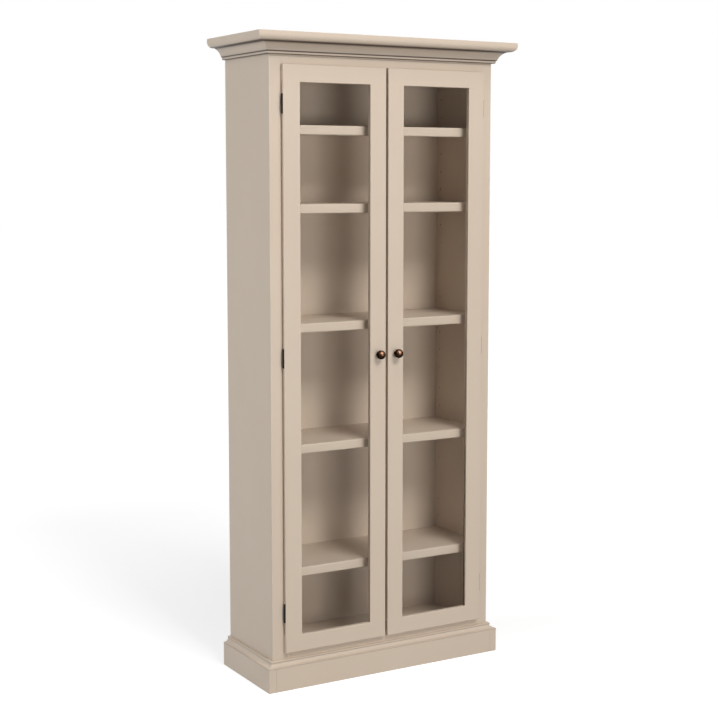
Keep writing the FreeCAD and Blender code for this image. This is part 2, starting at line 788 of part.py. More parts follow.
def add_knuckle(body, number, leaf_depth):
    """One knuckle about the hinge axis, with the strap that runs back from it to its leaf."""
    start, end = knuckle(number)
    add_block(body, (STRAP_START, "0", start), ("Sizes.hinge_barrel_radius", leaf_depth, end))
    sketch = new_sketch(body, "XY", start)
    draw_circle(sketch, "0", "0", "Sizes.hinge_barrel_radius")
    pad(body, sketch, f"{end} - {start}")


def bore_knuckles(body):
    sketch = new_sketch(body, "XY", "Sizes.hinge_length")
    draw_circle(sketch, "0", "0", "(Sizes.hinge_pin_radius + Sizes.hinge_running_clearance)")
    pocket(body, sketch, "Sizes.hinge_length")


def hinge_frame_leaf():
    """Lies on the face frame behind the door's edge and wraps round the frame's inner edge."""
    body = new_body("hinge_frame_leaf")
    leaf = "Sizes.hinge_leaf_thickness"
    face = "(Sizes.hinge_axis_depth + Sizes.door_standoff)"
    sketch = new_sketch(body, "XY")
    draw(sketch, [
        (STRAP_START, f"({face} - {leaf})"),
        (f"({WRAP_ACROSS} + {leaf})", f"({face} - {leaf})"),
        (f"({WRAP_ACROSS} + {leaf})", f"({face} + Sizes.hinge_wrap_depth)"),
        (WRAP_ACROSS, f"({face} + Sizes.hinge_wrap_depth)"),
        (WRAP_ACROSS, face),
        (STRAP_START, face),
    ])
    pad(body, sketch, "Sizes.hinge_length")
    for number in (0, 2, 4):
        add_knuckle(body, number, f"({face} - {leaf} / 2)")
    bore_knuckles(body)
    sketch = new_sketch(body, "YZ", f"({WRAP_ACROSS} + {leaf})")
    for height in screw_heights("0"):
        draw_circle(sketch, f"({face} + {WRAP_SCREW_DEPTH})", height, SCREW_HOLE)
    pocket(body, sketch, leaf)
    return body


def hinge_door_leaf():
    """Let into the door's back, with two knuckles in the notch in the door's outer edge.

    Beside the frame leaf's knuckles the leaf stops short of their straps.
    """
    body = new_body("hinge_door_leaf")
    leaf, depth = "Sizes.hinge_leaf_thickness", "Sizes.hinge_axis_depth"
    leaf_front = f"({depth} - {leaf})"
    leaf_start = "(Sizes.hinge_barrel_radius + Sizes.hinge_knuckle_gap)"
    add_block(body, (leaf_start, leaf_front, "0"), (LEAF_END, depth, "Sizes.hinge_length"))
    for number in (1, 3):
        start, end = knuckle(number)
        add_block(body, (STRAP_START, leaf_front, start), (leaf_start, depth, end))
        add_knuckle(body, number, f"({depth} - {leaf} / 2)")
    bore_knuckles(body)
    sketch = new_sketch(body, "XZ", "-Sizes.hinge_axis_depth")
    for height in screw_heights("0"):
        draw_circle(sketch, LEAF_SCREW_ACROSS, height, SCREW_HOLE)
    pocket(body, sketch, leaf, backwards=True)
    return body


def hinge_pin():
    """Loose pin with a small button head at both ends."""
    body = new_body("hinge_pin")
    radius, head = "Sizes.hinge_pin_radius", "Sizes.hinge_pin_head_radius"
    low, high = "-Sizes.hinge_knuckle_gap", "(Sizes.hinge_length + Sizes.hinge_knuckle_gap)"
    height, head_top = "Sizes.hinge_pin_head_height", "Sizes.hinge_pin_head_top_radius"
    turned(body, [
        ("0", f"({low} - {height})"),
        (head_top, f"({low} - {height})"),
        (head, low),
        (radius, low),
        (radius, high),
        (head, high),
        (head_top, f"({high} + {height})"),
        ("0", f"({high} + {height})"),
    ])
    return body


def hinges():
    """Three hinges to a door, on the axis along the middle of the door's outer edge."""
    spots = [(f"-{HINGE_X}", HINGE_Y, foot) for foot in HINGE_FOOTS]
    for name, source in (
        ("hinge_frame_leaves", hinge_frame_leaf()),
        ("hinge_door_leaves", hinge_door_leaf()),
        ("hinge_pins", hinge_pin()),
    ):
        both_hands(gathered("left_" + name, copies(name, source, spots)), name)


def carcass_screws():
    """The screws of both sets of frame leaves and the two that hold the catch under the top rail."""
    links = []
    for side, angle in ((-1, 90), (1, -90)):
        across = f"({side} * ({OPENING_HALF} - Sizes.hinge_leaf_thickness))"
        spots = []
        for foot in HINGE_FOOTS:
            for height in screw_heights(foot):
                spots.append((across, f"({FRONT} + {WRAP_SCREW_DEPTH})", height))
        links += copies(f"frame_screw_{'left' if side < 0 else 'right'}", SCREW, spots, Y_AXIS, angle)
    spots = []
    for side in (-1, 1):
        depth = f"({FRONT} + {CATCH_SCREW_DEPTH})"
        spots.append((f"({side} * {CATCH_SCREW_X})", depth, f"({OPENING_TOP} - Sizes.catch_ear_thickness)"))
    links += copies("catch_screw", SCREW, spots, X_AXIS, 180)
    finished(gathered("carcass_screws", links), "carcass_screws")


# ---- doors ----

REBATE_FRONT = "Sizes.glass_lip_thickness"
DOOR_TENON = ("(Sizes.door_thickness / 2 - Sizes.door_tenon_thickness / 2)",
              "(Sizes.door_thickness / 2 + Sizes.door_tenon_thickness / 2)")
GLASS_LOW = f"({DOOR_BOTTOM} + Sizes.door_rail_width - Sizes.glass_rebate_width)"
GLASS_HIGH = f"({DOOR_TOP} - Sizes.door_rail_width + Sizes.glass_rebate_width)"


def door_stile(name, corner_x, inner_side):
    """A full-height stile: mortises for both rails and a rebate for the glass on its inner side."""
    width, thickness = "Sizes.door_stile_width", "Sizes.door_thickness"
    body = board(name, (width, thickness, DOOR_HEIGHT), (corner_x, DOOR_FRONT, DOOR_BOTTOM))
    if inner_side > 0:
        rebate = (f"({width} - Sizes.glass_rebate_width)", width)
        mortise = (f"({width} - Sizes.door_tenon_length)", width)
    else:
        rebate = ("0", "Sizes.glass_rebate_width")
        mortise = ("0", "Sizes.door_tenon_length")
    low = "(Sizes.door_rail_width - Sizes.glass_rebate_width)"
    high = f"({DOOR_HEIGHT} - {low})"
    cut_block(body, (rebate[0], REBATE_FRONT, low), (rebate[1], thickness, high))
    for start in ("0", f"({DOOR_HEIGHT} - Sizes.door_rail_width)"):
        cut_block(
            body,
            (mortise[0], DOOR_TENON[0], f"({start} + Sizes.door_tenon_shoulder)"),
            (mortise[1], DOOR_TENON[1], f"({start} + Sizes.door_rail_width - Sizes.door_tenon_shoulder)"),
        )
    return body


def hinge_stile():
    """The outer stile, with a mortise in its back and a notch in its edge for each hinge."""
    body = door_stile("left_door_hinge_stile", f"-{DOOR_OUTER}", 1)
    thickness, leaf = "Sizes.door_thickness", "Sizes.hinge_leaf_thickness"
    barrel, clear = "Sizes.hinge_barrel_radius", "Sizes.hinge_mortise_clearance"
    leaf_bed = f"({thickness} - {leaf} - {clear})"
    leaf_end = f"({LEAF_END} - Sizes.hinge_axis_out + {clear})"
    notch_bed = f"({barrel} - Sizes.hinge_axis_out + {clear})"
    notch_front = f"({thickness} - Sizes.hinge_axis_depth - {barrel} - {clear})"
    pin_end = f"(Sizes.hinge_knuckle_gap + Sizes.hinge_pin_head_height + {clear})"
    for foot in HINGE_FOOTS:
        start, end = f"({foot} - {DOOR_BOTTOM})", f"({foot} - {DOOR_BOTTOM} + Sizes.hinge_length)"
        cut_block(body, ("0", leaf_bed, f"({start} - {clear})"), (leaf_end, thickness, f"({end} + {clear})"))
        low, high = f"({start} - {pin_end})", f"({end} + {pin_end})"
        cut_block(body, ("0", notch_front, low), (notch_bed, thickness, high))
    sketch = new_sketch(body, "XZ", f"-{leaf_bed}")
    for foot in HINGE_FOOTS:
        for height in screw_heights(f"({foot} - {DOOR_BOTTOM})"):
            draw_circle(sketch, f"({LEAF_SCREW_ACROSS} - Sizes.hinge_axis_out)", height, SCREW_HOLE)
    pocket(body, sketch, screw_hole_depth(leaf), backwards=True)
    return body


def meeting_stile():
    """The inner stile, drilled for the knob's screw and for the strike plate's."""
    body = door_stile("left_door_meeting_stile", f"(-{DOOR_INNER} - Sizes.door_stile_width)", -1)
    sketch = new_sketch(body, "XZ", "-Sizes.door_thickness")
    across = "(Sizes.door_stile_width / 2)"
    radius = "(Sizes.knob_screw_radius + Sizes.knob_screw_clearance)"
    draw_circle(sketch, across, f"(Sizes.knob_level - {DOOR_BOTTOM})", radius)
    pocket(body, sketch, "Sizes.door_thickness", backwards=True)
    sketch = new_sketch(body, "XZ", "-Sizes.door_thickness")
    screw_x = f"(Sizes.door_stile_width + {DOOR_INNER} - {CATCH_SPOT})"
    draw_circle(sketch, screw_x, f"({OPENING_TOP} - {STRIKE_SCREW_DROP} - {DOOR_BOTTOM})", SCREW_HOLE)
    pocket(body, sketch, screw_hole_depth("Sizes.strike_thickness"), backwards=True)
    return body


def door_rail(name, foot, rebate_up):
    """A rail between the stiles: a tenon at each end and a rebate for the glass."""
    length, width = f"({DOOR_WIDTH} - 2 * Sizes.door_stile_width)", "Sizes.door_rail_width"
    thickness, shoulder = "Sizes.door_thickness", "Sizes.door_tenon_shoulder"
    corner = (f"(-{DOOR_OUTER} + Sizes.door_stile_width)", DOOR_FRONT, foot)
    body = board(name, (length, thickness, width), corner)
    add_block(
        body,
        ("-Sizes.door_tenon_length", DOOR_TENON[0], shoulder),
        (f"({length} + Sizes.door_tenon_length)", DOOR_TENON[1], f"({width} - {shoulder})"),
    )
    low = f"({width} - Sizes.glass_rebate_width)" if rebate_up else "0"
    high = width if rebate_up else "Sizes.glass_rebate_width"
    cut_block(body, ("0", REBATE_FRONT, low), (length, thickness, high))
    return body


def door_glass():
    """The pane, a little smaller than its rebate all round."""
    gap = "Sizes.glass_edge_gap"
    length = f"({DOOR_WIDTH} - 2 * Sizes.door_stile_width + 2 * Sizes.glass_rebate_width - 2 * {gap})"
    left = f"(-{DOOR_OUTER} + Sizes.door_stile_width - Sizes.glass_rebate_width + {gap})"
    corner = (left, f"({DOOR_FRONT} + {REBATE_FRONT})", f"({GLASS_LOW} + {gap})")
    size = (length, "Sizes.glass_thickness", f"({GLASS_HIGH} - {GLASS_LOW} - 2 * {gap})")
    return board("left_door_glass", size, corner)


def glass_beads():
    """Four flat beads behind the pane: two full height, two between them."""
    width = "Sizes.glass_rebate_width"
    depth = f"(Sizes.door_thickness - {REBATE_FRONT} - Sizes.glass_thickness)"
    left = f"(-{DOOR_OUTER} + Sizes.door_stile_width - {width})"
    span = f"({DOOR_WIDTH} - 2 * Sizes.door_stile_width)"
    front = f"({DOOR_BACK} - {depth})"
    upright = (width, depth, f"({GLASS_HIGH} - {GLASS_LOW})")
    level = (span, depth, width)
    beads = [
        board("bead_outer", upright, (left, front, GLASS_LOW)),
        board("bead_inner", upright, (f"({left} + {width} + {span})", front, GLASS_LOW)),
        board("bead_bottom", level, (f"({left} + {width})", front, GLASS_LOW)),
        board("bead_top", level, (f"({left} + {width})", front, f"({GLASS_HIGH} - {width})")),
    ]
    return gathered("left_door_glass_beads", beads)


def knob():
    """Ball knob on a short neck and a small round foot, tapped for its screw."""
    body = new_body("left_knob")
    neck, centre, ball = "Sizes.knob_neck_radius", "Sizes.knob_centre_height", "Sizes.knob_radius"
    ball_foot = f"({centre} - sqrt({ball}^2 - {neck}^2))"
    turned(body, [
        ("0", "0"),
        ("Sizes.knob_foot_radius", "0"),
        ("Sizes.knob_foot_radius", "Sizes.knob_foot_height"),
        (neck, f"(Sizes.knob_foot_height + Sizes.knob_foot_radius - {neck})"),
        (neck, ball_foot, ball, 1),
        (ball, centre, ball, 1),
        ("0", f"({centre} + {ball})"),
    ])
    sketch = new_sketch(body, "XY")
    draw_circle(sketch, "0", "0", "(Sizes.knob_screw_radius + Sizes.knob_screw_clearance)")
    pocket(body, sketch, "(Sizes.knob_screw_reach + Sizes.knob_screw_tip_clearance)", backwards=True)
    body.Placement = FreeCAD.Placement(FreeCAD.Vector(), FreeCAD.Rotation(X_AXIS, 90))
    place(body, f"-{KNOB_X}", DOOR_FRONT, "Sizes.knob_level")
    return body


def knob_screw():
    """Machine screw from the door's back into the knob."""
    body = new_body("left_knob_screw")
    shank, head = "Sizes.knob_screw_radius", "Sizes.knob_screw_head_radius"
    length = "(Sizes.door_thickness + Sizes.knob_screw_reach)"
    turned(body, [
        ("0", "-Sizes.knob_screw_head_height"),
        ("Sizes.knob_screw_head_top_radius", "-Sizes.knob_screw_head_height"),
        (head, "0"),
        (shank, "0"),
        (shank, length),
        ("0", length),
    ])
    body.Placement = FreeCAD.Placement(FreeCAD.Vector(), FreeCAD.Rotation(X_AXIS, 90))
    place(body, f"-{KNOB_X}", DOOR_BACK, "Sizes.knob_level")
    return body


def door_screws():
    """Hinge screws and the strike plate's screw, all driven into the door's back."""
    across = f"(-{HINGE_X} + {LEAF_SCREW_ACROSS})"
    spots = []
    for foot in HINGE_FOOTS:
        for height in screw_heights(foot):
            spots.append((across, DOOR_BACK, height))
    strike_face = f"({DOOR_BACK} + Sizes.strike_thickness)"
    spots.append((f"-{CATCH_SPOT}", strike_face, f"({OPENING_TOP} - {STRIKE_SCREW_DROP})"))
    return gathered("left_door_screws", copies("door_screw", SCREW, spots, X_AXIS, -90))


def doors():
    """The left door's pieces, each with its right-hand twin."""
    both_hands(hinge_stile(), "door_hinge_stile")
    both_hands(meeting_stile(), "door_meeting_stile")
    top_rail_foot = f"({DOOR_TOP} - Sizes.door_rail_width)"
    both_hands(door_rail("left_door_top_rail", top_rail_foot, rebate_up=False), "door_top_rail")
    both_hands(door_rail("left_door_bottom_rail", DOOR_BOTTOM, rebate_up=True), "door_bottom_rail")
    both_hands(door_glass(), "door_glass")
    both_hands(glass_beads(), "door_glass_beads")
    both_hands(door_screws(), "door_screws")
    both_hands(knob(), "knob")
    both_hands(knob_screw(), "knob_screw")
    both_hands(strike_plate(), "strike_plate")


# ---- magnetic catch ----

CATCH_FRONT = f"({DOOR_BACK} + Sizes.strike_thickness + Sizes.strike_gap)"
CATCH_SPOT = "Sizes.catch_magnet_offset"
CATCH_SCREW_X = "(Sizes.catch_body_width / 2 + Sizes.catch_ear_width / 2)"
CATCH_SCREW_DEPTH = "(Sizes.frame_thickness / 2)"
STRIKE_SCREW_DROP = "(Sizes.catch_height + Sizes.strike_screw_gap + Sizes.screw_head_radius)"
STRIKE_HEIGHT = f"({STRIKE_SCREW_DROP} + Sizes.screw_head_radius + Sizes.strike_margin)"


def magnetic_catch():
    """One housing for both doors: a body with a pocket for each magnet, and an ear at each end."""
    half, height, depth = "(Sizes.catch_body_width / 2)", "Sizes.catch_height", "Sizes.catch_depth"
    clear = "Sizes.catch_magnet_clearance"
    body = new_body("magnetic_catch")
    add_block(body, (f"-{half}", "0", f"-{height}"), (half, depth, "0"))
    ear = f"({half} + Sizes.catch_ear_width)"
    add_block(body, (f"-{ear}", "0", "-Sizes.catch_ear_thickness"), (ear, depth, "0"))
    for side in (-1, 1):
        low = f"({side} * {CATCH_SPOT} - Sizes.catch_magnet_width / 2 - {clear})"
        high = f"({side} * {CATCH_SPOT} + Sizes.catch_magnet_width / 2 + {clear})"
        under = f"(-{height} / 2 - Sizes.catch_magnet_height / 2 - {clear})"
        over = f"(-{height} / 2 + Sizes.catch_magnet_height / 2 + {clear})"
        cut_block(body, (low, "0", under), (high, "Sizes.catch_magnet_depth", over))
    sketch = new_sketch(body, "XY")
    screw_y = f"({FRONT} + {CATCH_SCREW_DEPTH} - {CATCH_FRONT})"
    for side in (-1, 1):
        draw_circle(sketch, f"({side} * {CATCH_SCREW_X})", screw_y, SCREW_HOLE)
    pocket(body, sketch, "Sizes.catch_ear_thickness")
    place(body, "0", CATCH_FRONT, OPENING_TOP)
    return finished(body, "magnetic_catch")


def catch_magnets():
    """Two bar magnets, flush with the front of the housing."""
    width, height = "Sizes.catch_magnet_width", "Sizes.catch_magnet_height"
    magnet = board("magnet", (width, "Sizes.catch_magnet_depth", height), ("0", "0", "0"))
    level = f"({OPENING_TOP} - Sizes.catch_height / 2 - {height} / 2)"
    spots = [(f"({side} * {CATCH_SPOT} - {width} / 2)", CATCH_FRONT, level) for side in (-1, 1)]
    return finished(gathered("catch_magnets", copies("catch_magnet", magnet, spots)), "catch_magnets")


def strike_plate():
    """Steel plate on the door's back, in front of its magnet, with its screw below the housing."""
    width, thickness = "Sizes.strike_width", "Sizes.strike_thickness"
    corner = (f"(-{CATCH_SPOT} - {width} / 2)", DOOR_BACK, f"({OPENING_TOP} - {STRIKE_HEIGHT})")
    body = board("left_strike_plate", (width, thickness, STRIKE_HEIGHT), corner)
    sketch = new_sketch(body, "XZ", f"-{thickness}")
    draw_circle(sketch, f"({width} / 2)", f"({STRIKE_HEIGHT} - {STRIKE_SCREW_DROP})", SCREW_HOLE)
    pocket(body, sketch, thickness, backwards=True)
    return body


# ---- the whole bookcase ----

PIN = shelf_pin()
SCREW = wood_screw()

carcass()
both_hands(frame_stile(), "frame_stile")
frame_rail_top()
frame_rail_bottom()
cornice()
base()
shelves()
hinges()
carcass_screws()
doors()
magnetic_catch()
catch_magnets()

doc.recompute()

for item in doc.Objects:
    if {"Invalid", "Error"} & set(item.State):
        raise RuntimeError(f"{item.Label} failed: {item.State}")
os.makedirs("parts", exist_ok=True)
for item in nodes:
    if item.Shape.isNull() or not item.Shape.isValid():
        raise RuntimeError(f"{item.Label} has no valid shape")
    item.Shape.exportStep(f"parts/{item.Label}.step")
    print(item.Label, len(item.Shape.Solids), round(item.Shape.Volume))
print(len(nodes), "sub-parts")
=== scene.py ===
import math

import bmesh
import bpy
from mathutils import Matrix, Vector


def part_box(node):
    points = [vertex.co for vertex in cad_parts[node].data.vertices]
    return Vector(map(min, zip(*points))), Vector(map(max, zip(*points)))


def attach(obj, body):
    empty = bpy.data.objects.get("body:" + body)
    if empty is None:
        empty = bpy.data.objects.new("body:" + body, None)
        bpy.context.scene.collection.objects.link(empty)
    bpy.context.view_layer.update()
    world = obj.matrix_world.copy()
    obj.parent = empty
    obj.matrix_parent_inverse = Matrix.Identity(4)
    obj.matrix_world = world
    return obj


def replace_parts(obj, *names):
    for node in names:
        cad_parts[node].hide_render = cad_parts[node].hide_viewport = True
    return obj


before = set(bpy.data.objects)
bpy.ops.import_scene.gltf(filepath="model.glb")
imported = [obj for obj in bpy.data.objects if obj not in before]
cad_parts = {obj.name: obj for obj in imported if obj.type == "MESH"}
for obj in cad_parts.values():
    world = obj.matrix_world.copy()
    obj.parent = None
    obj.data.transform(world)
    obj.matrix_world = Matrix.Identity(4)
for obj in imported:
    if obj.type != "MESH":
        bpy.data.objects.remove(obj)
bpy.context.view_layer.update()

# ---- Side panels ----
# Two 19 mm boards, floor to top, housed for the deck and the top panel, grooved for the back, drilled in two
# columns for the shelf pins and glued into the face frame's stiles. Like all the wood they are sprayed in one
# warm putty satin paint, flatted along the board's length.


def satin_paint(length_axis):
    """The putty paint, with the faint lines of flatting along a board that runs this way."""
    name = "putty_satin_along_" + "xyz"[length_axis]
    if name in bpy.data.materials:
        return bpy.data.materials[name]
    paint = bpy.data.materials.new(name)
    paint.use_nodes = True
    nodes, links = paint.node_tree.nodes, paint.node_tree.links
    shader = nodes["Principled BSDF"]
    shader.inputs["Specular IOR Level"].default_value = 0.5
    place = nodes.new("ShaderNodeTexCoord")

    def clouds(scale, detail, vector):
        noise = nodes.new("ShaderNodeTexNoise")
        noise.inputs["Scale"].default_value = scale
        noise.inputs["Detail"].default_value = detail
        links.new(vector, noise.inputs["Vector"])
        return noise.outputs["Fac"]

    # the coat is a touch deeper where it lies thicker
    coat = nodes.new("ShaderNodeMix")
    coat.data_type = "RGBA"
    coat.inputs["A"].default_value = (0.590, 0.480, 0.376, 1)
    coat.inputs["B"].default_value = (0.634, 0.524, 0.420, 1)
    links.new(clouds(3.1, 4, place.outputs["Object"]), coat.inputs["Factor"])
    links.new(coat.outputs["Result"], shader.inputs["Base Color"])

    sheen = nodes.new("ShaderNodeMapRange")
    sheen.inputs["To Min"].default_value = 0.34
    sheen.inputs["To Max"].default_value = 0.5
    links.new(clouds(14, 3, place.outputs["Object"]), sheen.inputs["Value"])
    links.new(sheen.outputs["Result"], shader.inputs["Roughness"])

    stretch = nodes.new("ShaderNodeMapping")
    stretch.inputs["Scale"].default_value = [2.5 if axis == length_axis else 260 for axis in range(3)]
    links.new(place.outputs["Object"], stretch.inputs["Vector"])
    lines = nodes.new("ShaderNodeBump")
    lines.inputs["Strength"].default_value = 0.1
    lines.inputs["Distance"].default_value = 0.0002
    links.new(clouds(1, 5, stretch.outputs["Vector"]), lines.inputs["Height"])
    spray = nodes.new("ShaderNodeBump")
    spray.inputs["Strength"].default_value = 0.12
    spray.inputs["Distance"].default_value = 0.0001
    links.new(clouds(620, 2, place.outputs["Object"]), spray.inputs["Height"])
    links.new(lines.outputs["Normal"], spray.inputs["Normal"])
    links.new(spray.outputs["Normal"], shader.inputs["Normal"])
    return paint


def longest_axis(node):
    low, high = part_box(node)
    return max(range(3), key=lambda axis: high[axis] - low[axis])


crisp_angle = math.radians(28)


def shown_piece(name, work, body, finish):
    """Turns finished bmesh work into a piece on its body, smooth over curves and crisp at edges."""
    mesh = bpy.data.meshes.new(name)
    work.to_mesh(mesh)
    work.free()
    mesh.shade_smooth()
    mesh.set_sharp_from_angle(angle=crisp_angle)
    piece = bpy.data.objects.new(name, mesh)
    bpy.context.scene.collection.objects.link(piece)
    mesh.materials.append(finish)
    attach(piece, body)
    return piece


weld_gap = 0.00001
shortest_arris = 0.004
on_one_plane = 0.0001
middle_of_a_door = 0.2


def sanded(node, body, arris, joint=0.0003, cuts=(), front=True, ends=True):
    """The board itself, its outer arrises sanded by arris and the edges where it meets others by joint.

    The outer arrises are those round its front face, without the ones across its ends if ends is False, or
    all the long ones if front is False. Cuts are the heights where a rail's joint ends on a door's stile.
    """
    low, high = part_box(node)
    along = longest_axis(node)
    work = bmesh.new()
    work.from_mesh(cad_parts[node].data)
    bmesh.ops.remove_doubles(work, verts=work.verts, dist=weld_gap)
    bmesh.ops.dissolve_limit(work, angle_limit=math.radians(1), verts=work.verts, edges=work.edges)
    for height in [height + step for height in cuts for step in (-arris, 0, arris)]:
        everything = work.verts[:] + work.edges[:] + work.faces[:]
        bmesh.ops.bisect_plane(work, geom=everything, plane_co=(0, 0, height), plane_no=(0, 0, 1))
    weight = work.edges.layers.float.new("bevel_weight_edge")
    for edge in work.edges:
        if len(edge.link_faces) != 2 or not edge.is_convex or edge.calc_face_angle() < math.radians(40):
            continue
        first, last = (vertex.co for vertex in edge.verts)
        run = last - first
        if run.length < shortest_arris:
            continue
        lengthwise = abs(run[along]) > 0.9 * run.length
        outer = lengthwise
        if front:
            outer = max(first.y, last.y) < low.y + on_one_plane and (ends or lengthwise)
        if cuts and outer and abs(run.z) > 0.9 * run.length:
            # beside the glass the stile is left square where a rail meets it
            rise = (first.z + last.z) / 2
            towards_middle = abs(first.x) < (abs(low.x) + abs(high.x)) / 2
            hinge_stile = abs(low.x + high.x) / 2 > middle_of_a_door
            if towards_middle == hinge_stile and not cuts[0] < rise < cuts[1]:
                outer = False
        edge[weight] = 1.0 if outer else joint / arris
    piece = shown_piece(node + "_painted", work, body, satin_paint(along))
    easing = piece.modifiers.new("sanded edges", "BEVEL")
    easing.limit_method = "WEIGHT"
    easing.width = arris
    easing.segments = 3
    flats = piece.modifiers.new("flat faces", "WEIGHTED_NORMAL")
    flats.weight = 100
    flats.keep_sharp = True
    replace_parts(piece, node)
    return piece


# painted shade: the inside of each pin hole is coloured near black, where shade falls deep in the hole
pin_hole_shade = satin_paint(2).copy()
pin_hole_shade.name = "pin_hole_shade"
hole_shade_colour = pin_hole_shade.node_tree.nodes["Principled BSDF"].inputs["Base Color"].links[0].from_node
hole_shade_colour.inputs["A"].default_value = (0.016, 0.009, 0.006, 1)
hole_shade_colour.inputs["B"].default_value = (0.040, 0.022, 0.013, 1)
largest_hole_face = 0.00003  # square metres
for side in ("left", "right"):
    panel = sanded(side + "_side_panel", "case", 0.001, front=False)
    panel.data.materials.append(pin_hole_shade)
    for face in panel.data.polygons:
        if face.area < largest_hole_face:
            face.material_index = 1

# ---- Deck, top panel and back ----
# The deck and the top panel are 19 mm boards housed in the sides. The back is a 6 mm panel in a groove, set
# in from the sides' back edges, with a flat rail behind it at its top and foot and one below the deck.

back_pieces = ("back_panel", "back_rail_top", "back_rail_bottom", "base_rail_back")
for node in ("deck_panel", "top_panel", *back_pieces):
    sanded(node, "case", 0.0006, front=False)

# ---- Face frame ----
# Two stiles and two rails of 19 mm, mortised and tenoned. The top rail runs over both stiles. The frame is
# glued to the front of the case, and its stiles are rebated over the sides' front edges.

for side in ("left", "right"):
    sanded(side + "_frame_stile", "case", 0.0012, joint=0.0008)
sanded("frame_rail_top", "case", 0.0008, joint=0.0008)
sanded("frame_rail_bottom", "case", 0.0012, joint=0.0004, ends=False)

# ---- Cap boards ----
# The cap is three boards of 30 mm side by side: a wide one over the case and one along each side, butted
# and glued. Their lower front and side edges are rounded with a large router bit before painting.

cap_round = 0.019
cap_top_ease = 0.0012
cap_joint_ease = 0.0008


def paint_with_painted_shade(name, length_axis, foot, shade_bands):
    """The putty paint, with painted shade in its hollows. Bands list (height over the foot, share of shade).
    """
    name = name + "_along_" + "xyz"[length_axis]
    if name in bpy.data.materials:
        return bpy.data.materials[name]
    paint = satin_paint(length_axis).copy()
    paint.name = name
    nodes, links = paint.node_tree.nodes, paint.node_tree.links
    base = nodes["Principled BSDF"].inputs["Base Color"]
    coat = base.links[0].from_socket
    place = nodes.new("ShaderNodeTexCoord")
    parted = nodes.new("ShaderNodeSeparateXYZ")
    links.new(place.outputs["Object"], parted.inputs["Vector"])
    rise = nodes.new("ShaderNodeMapRange")
    rise.inputs["From Min"].default_value = foot
    rise.inputs["From Max"].default_value = foot + shade_bands[-1][0]
    links.new(parted.outputs["Z"], rise.inputs["Value"])
    depth = nodes.new("ShaderNodeValToRGB")
    stops = depth.color_ramp.elements
    for height, _ in shade_bands[1:-1]:
        stops.new(height / shade_bands[-1][0])
    for stop, (_, share) in zip(stops, shade_bands):
        stop.color = (share, share, share, 1)
    links.new(rise.outputs["Result"], depth.inputs["Fac"])
    # painted shade: dark brown mixed in by height, darkening the hollows and creases where shade falls
    shade_mix = nodes.new("ShaderNodeMix")
    shade_mix.data_type = "RGBA"
    shade_mix.inputs["B"].default_value = (0.036, 0.018, 0.010, 1)
    links.new(depth.outputs["Color"], shade_mix.inputs["Factor"])
    links.new(coat, shade_mix.inputs["A"])
    links.new(shade_mix.outputs["Result"], base)
    return paint


# painted shade along the foot of each cap board, where it overhangs the cornice moulding
cap_shade_bands = [(0, 1.0), (0.0008, 0.9), (0.0028, 0.2), (0.006, 0.03), (0.010, 0), (0.030, 0)]


def cap_levels(thickness):
    """Heights up the board's edge with how far the edge is drawn in there."""
    levels = []
    for step in range(17):
        turn = math.pi / 2 * step / 16
        levels.append((cap_round * (1 - math.cos(turn)), cap_round * (1 - math.sin(turn))))
    for step in range(5):
        turn = math.pi / 2 * step / 4
        rise = cap_top_ease * (math.sin(turn) - 1)
        levels.append((thickness + rise, cap_top_ease * (1 - math.cos(turn))))
    return levels


def cap_board(node, rounded):
    """A board built up level by level, drawn in at the edges named in rounded."""
    low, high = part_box(node)
    work = bmesh.new()
    loops = []
    for height, inset in cap_levels(high.z - low.z):
        x0 = low.x + (inset if "left" in rounded else 0)
        x1 = high.x - (inset if "right" in rounded else 0)
        y0 = low.y + inset
        outline = [(x0, y0), (x1, y0), (x1, high.y), (x0, high.y)]
        loops.append([work.verts.new((x, y, low.z + height)) for x, y in outline])
    for lower, upper in zip(loops, loops[1:]):
        for number in range(4):
            after = (number + 1) % 4
            work.faces.new((lower[number], lower[after], upper[after], upper[number]))
    work.faces.new(loops[-1])
    work.faces.new(list(reversed(loops[0])))
    # the arrises of the butt joints are just eased, which leaves a fine line between the boards
    weight = work.edges.layers.float.new("bevel_weight_edge")
    joints = [x for side, x in (("left", low.x), ("right", high.x)) if side not in rounded]
    for edge in work.edges:
        for x in joints:
            at_joint = all(abs(vertex.co.x - x) < weld_gap / 10 for vertex in edge.verts)
            if at_joint and edge.calc_face_angle() > 1:
                edge[weight] = 1.0
    finish = paint_with_painted_shade("glazed_cap", longest_axis(node), low.z, cap_shade_bands)
    piece = shown_piece(node + "_painted", work, "case", finish)
    easing = piece.modifiers.new("eased joints", "BEVEL")
    easing.limit_method = "WEIGHT"
    easing.width = cap_joint_ease
    easing.segments = 2
    easing.harden_normals = True
    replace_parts(piece, node)


cap_board("top_board", ())
cap_board("left_cornice_side_board", ("left",))
cap_board("right_cornice_side_board", ("right",))

# ---- Cornice moulding ----
# A cove moulding under the cap: a small rounded foot, a quirk and then a hollow that sweeps out to the cap.
# It is run in lengths, mitred at the two front corners and glued to the frame and the sides.


def arc(start, end, radius, steps):
    """Points of the short arc from start to end, turning left for a positive radius, else right."""
    start, end = Vector(start), Vector(end)
    chord = end - start
    side = math.copysign(1, radius)
    offset = Vector((-chord.y, chord.x)).normalized() * math.sqrt(radius**2 - chord.length_squared / 4)
    centre = (start + end) / 2 + offset * side
    first = math.atan2(start.y - centre.y, start.x - centre.x)
    sweep = 2 * math.asin(chord.length / 2 / abs(radius)) * side
    points = []
    for step in range(steps + 1):
        turn = first + sweep * step / steps
        points.append(tuple(centre + abs(radius) * Vector((math.cos(turn), math.sin(turn)))))
    return points


